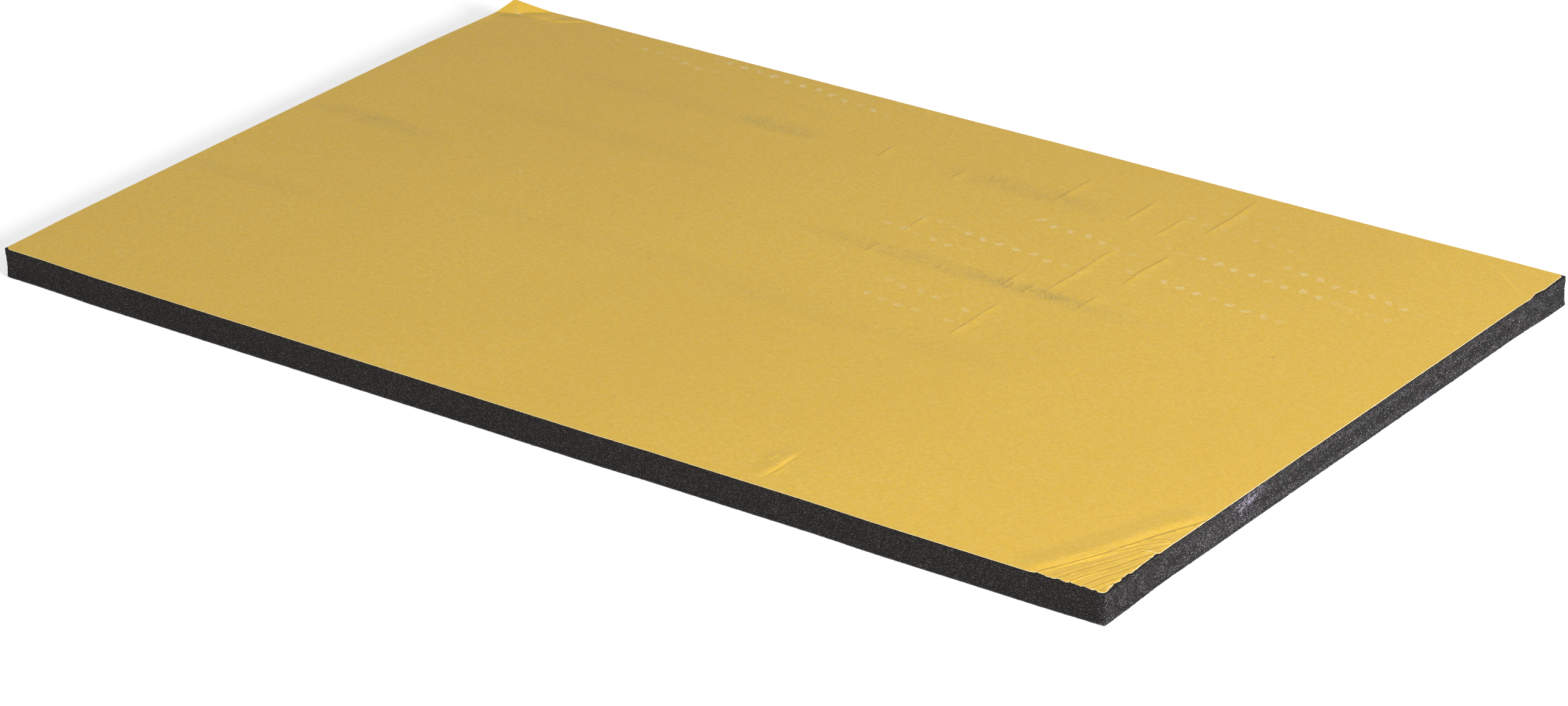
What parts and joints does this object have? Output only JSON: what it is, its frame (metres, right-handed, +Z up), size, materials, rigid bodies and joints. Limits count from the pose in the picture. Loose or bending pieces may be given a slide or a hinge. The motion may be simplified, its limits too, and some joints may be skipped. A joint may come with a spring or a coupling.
{
  "type": "acoustic foam panel",
  "caption": "Flat rectangular panel of black fine-celled acoustic foam, its self-adhesive face covered by a yellow release liner.",
  "frame": {"origin": "middle of the underside, the face that lies on the floor", "axes": "+X along the length, +Y across the width, +Z up through the thickness, out of the adhesive face"},
  "size_m": [1, 0.6, 0.0273],
  "materials": {
    "foam": "black elastomer foam, fine open cells on the cut sides",
    "liner": "yellow siliconised release paper, satin, with creases and scuffs"
  },
  "bodies": {
    "root": {"foam_slab": "foam", "release_liner": "liner"}
  },
  "joints": []
}
